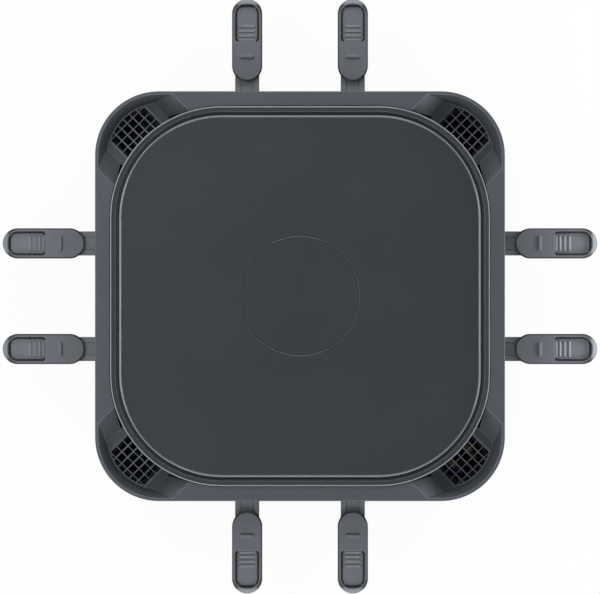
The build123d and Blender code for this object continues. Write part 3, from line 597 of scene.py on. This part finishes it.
# Closes the rim's two open edges: an underside, and a floor with a grooved ring in it.
def closePlate(mesh):
    size = grillPlate
    shape = bmesh.new()
    shape.from_mesh(mesh)
    openEdges = [edge for edge in shape.edges if edge.is_boundary]
    middle = (size["rim"][0][1] + size["rim"][-1][1]) / 2 * millimetre
    under = [edge for edge in openEdges if edge.verts[0].co.z < middle]
    top = [edge for edge in openEdges if edge.verts[0].co.z > middle]
    bmesh.ops.triangle_fill(shape, use_beauty=True, edges=under, normal=(0, 0, -1))
    outer = size["markRadius"]
    inner = outer - size["markWidth"]
    floor = size["floorHeight"]
    low = floor - size["markDepth"]
    rows = [(outer, floor), (outer - size["markSlope"], low), (inner, low), (inner, floor)]
    count = size["markPoints"]
    loops = []
    for radius, height in rows:
        loops.append(ringOfVerts(shape, radius * millimetre, height * millimetre, count))
    for outside, inside in zip(loops, loops[1:]):
        for step in range(count):
            after = (step + 1) % count
            shape.faces.new((outside[step], outside[after], inside[after], inside[step]))
    rings = []
    for loop in (loops[0], loops[-1]):
        rings.append([shape.edges.get((loop[step], loop[step - 1])) for step in range(count)])
    bmesh.ops.triangle_fill(shape, use_beauty=True, edges=top + rings[0], normal=(0, 0, 1))
    bmesh.ops.triangle_fill(shape, use_beauty=True, edges=rings[1], normal=(0, 0, 1))
    bmesh.ops.recalc_face_normals(shape, faces=shape.faces)
    shared = [edge for edge in shape.edges if len(edge.link_faces) == 2]
    flat = math.radians(size["flatAngle"])
    bmesh.ops.dissolve_limit(shape, angle_limit=flat, verts=[], edges=shared)
    for edge in shape.edges:
        edge.smooth = edge.calc_face_angle(0) < math.radians(size["sharpAngle"])
    shape.to_mesh(mesh)
    shape.free()
    return mesh


def makeGrillPlate():
    size = grillPlate
    shaper = Shaper("rimSweep", side=2 * size["half"] * millimetre,
                    corner=size["corner"] * millimetre, cornerPoints=size["cornerPoints"])
    sides = {"Width": shaper.size("side"), "Height": shaper.size("side")}
    square = shaper.node("GeometryNodeCurvePrimitiveQuadrilateral", {}, sides)
    corners = {"Radius": shaper.size("corner"), "Count": shaper.size("cornerPoints")}
    path = shaper.node("GeometryNodeFilletCurve", {"mode": "POLY"}, {"Curve": square, **corners})
    level = shaper.node("GeometryNodeSetCurveNormal", {"mode": "Z_UP"}, {"Curve": path})
    profile = shaper.node("GeometryNodeMeshToCurve", {}, {0: shaper.size("Geometry")})
    curves = {"Curve": level, "Profile Curve": profile}
    swept = shaper.node("GeometryNodeCurveToMesh", {}, curves)
    line = roundedLine(size["rim"], size["roundSteps"])
    begin = lineMesh([(-inset, -height) for inset, height in line])
    mesh = shaper.mesh(swept, finishes["plate_coating"], begin)
    addPiece("grillPlate", smoothed(closePlate(mesh)), "plate", "plate_coating", "grill_plate")


makeGrillPlate()
print("grill plate made")


# Floor, light and camera, in metres.
studio = {
    "floorHalf": 12.0,
    "floorShade": 0.80,
    "floorWhite": 0.94,    # how much of the floor's white the camera sees
    "skyOverhead": 0.14,
    "skyLow": 1.12,
    "skySide": 0.4,        # of the low sky's light, what the sides get
    "skyLeft": 0.15,
    "skyTurn": 0.70,       # below this height the sky brightens
    "skyTint": (0.94, 0.975, 1.03),
    "cameraHeight": 6.0,
    "cameraReach": 100,
    "viewWidth": 0.600,
    "viewShiftY": 0.0008,
    "focusHeight": 0.118,
    "sensor": 36.0,        # millimetres
}
lamps = [
    # name, place, aim, width, height, watts
    ("leftSoftbox", (-0.48, 0.13, 0.75), (-0.11, 0.05, 0.1), 0.9, 0.34, 1.9),
    ("backSoftbox", (0.05, 0.72, 0.52), (0.05, 0.1, 0.1), 0.7, 0.2, 2.4),
    ("frontSoftbox", (0.05, -0.72, 0.52), (0.05, -0.1, 0.1), 0.7, 0.2, 2.5),
    ("leftLowSoftbox", (-1.5, 0, 0.4), (0, 0, 0.1), 0.9, 0.3, 4),
    ("rightLowSoftbox", (1.5, 0, 0.4), (0, 0, 0.1), 0.9, 0.3, 2),
    ("rightStrip", (0.56, 0, 0.2), (0.26, 0, 0.05), 0.5, 0.1, 1.3),
]


# A pale floor that takes the shadow and shows white to the camera, to metal and to glass.
def makeFloor():
    half = studio["floorHalf"]
    mesh = bpy.data.meshes.new("floor")
    corners = [(-half, -half, 0), (half, -half, 0), (half, half, 0), (-half, half, 0)]
    mesh.from_pydata(corners, [], [(0, 1, 2, 3)])
    floor = bpy.data.objects.new("floor", mesh)
    bpy.context.scene.collection.objects.link(floor)
    paper = Finish("paleFloor", Roughness=0.9)
    tone = studio["floorShade"]
    paper.set("Base Color", (tone, tone, tone, 1))
    paper.set("Specular IOR Level", 0.0)
    glow = paper.tree.nodes.new("ShaderNodeEmission")
    seen = paper.node("ShaderNodeLightPath", output="Is Camera Ray")
    seen = seen + paper.node("ShaderNodeLightPath", output="Is Glossy Ray")
    seen = seen + paper.node("ShaderNodeLightPath", output="Is Transmission Ray")
    mix = paper.tree.nodes.new("ShaderNodeMixShader")
    paper.fill(mix.inputs[0], seen * studio["floorWhite"])
    paper.tree.links.new(paper.shader.outputs[0], mix.inputs[1])
    paper.tree.links.new(glow.outputs[0], mix.inputs[2])
    paper.tree.links.new(mix.outputs[0], paper.end.inputs["Surface"])
    mesh.materials.append(paper.material)


# A soft sky: dim overhead and bright low down, most of all at the front and back and least on
# the right.
def makeSky():
    world = bpy.data.worlds.new("softSky")
    bpy.context.scene.world = world
    world.use_nodes = True
    sky = Graph(world.node_tree)
    sky.tree.nodes.clear()
    light = sky.tree.nodes.new("ShaderNodeBackground")
    end = sky.tree.nodes.new("ShaderNodeOutputWorld")
    across, along, up = sky.parts(sky.node("ShaderNodeTexCoord", output="Generated"))
    inputs = {"Value": up, "From Min": studio["skyTurn"], "To Min": 1, "To Max": 0}
    low = sky.node("ShaderNodeMapRange", {"interpolation_type": "SMOOTHSTEP"}, inputs)
    side = studio["skySide"] - across * studio["skyLeft"]
    share = side + along * along * (1 - side)
    sky.fill(light.inputs["Strength"], low * share * studio["skyLow"] + studio["skyOverhead"])
    light.inputs["Color"].default_value = (*studio["skyTint"], 1)
    sky.tree.links.new(light.outputs[0], end.inputs["Surface"])


def makeLamps():
    for name, place, target, width, height, power in lamps:
        light = bpy.data.lights.new(name, "AREA")
        light.energy = power
        light.shape = "RECTANGLE"
        light.size = width
        light.size_y = height
        light.color = studio["skyTint"]
        lamp = bpy.data.objects.new(name, light)
        bpy.context.scene.collection.objects.link(lamp)
        lamp.location = place
        aim = Vector(target) - Vector(place)
        lamp.rotation_euler = aim.to_track_quat("-Z", "Y").to_euler()


# Straight above, far off, with its view as wide as the picture at the plate's height.
def makeCamera():
    lens = bpy.data.cameras.new("camera")
    lens.sensor_width = studio["sensor"]
    reach = studio["cameraHeight"] - studio["focusHeight"]
    lens.lens = studio["sensor"] * reach / studio["viewWidth"]
    lens.clip_end = studio["cameraReach"]
    camera = bpy.data.objects.new("camera", lens)
    bpy.context.scene.collection.objects.link(camera)
    camera.location = (0, -studio["viewShiftY"], studio["cameraHeight"])
    bpy.context.scene.camera = camera


makeFloor()
makeSky()
makeLamps()
makeCamera()
bpy.context.scene.view_settings.view_transform = "Standard"
print("stage set")
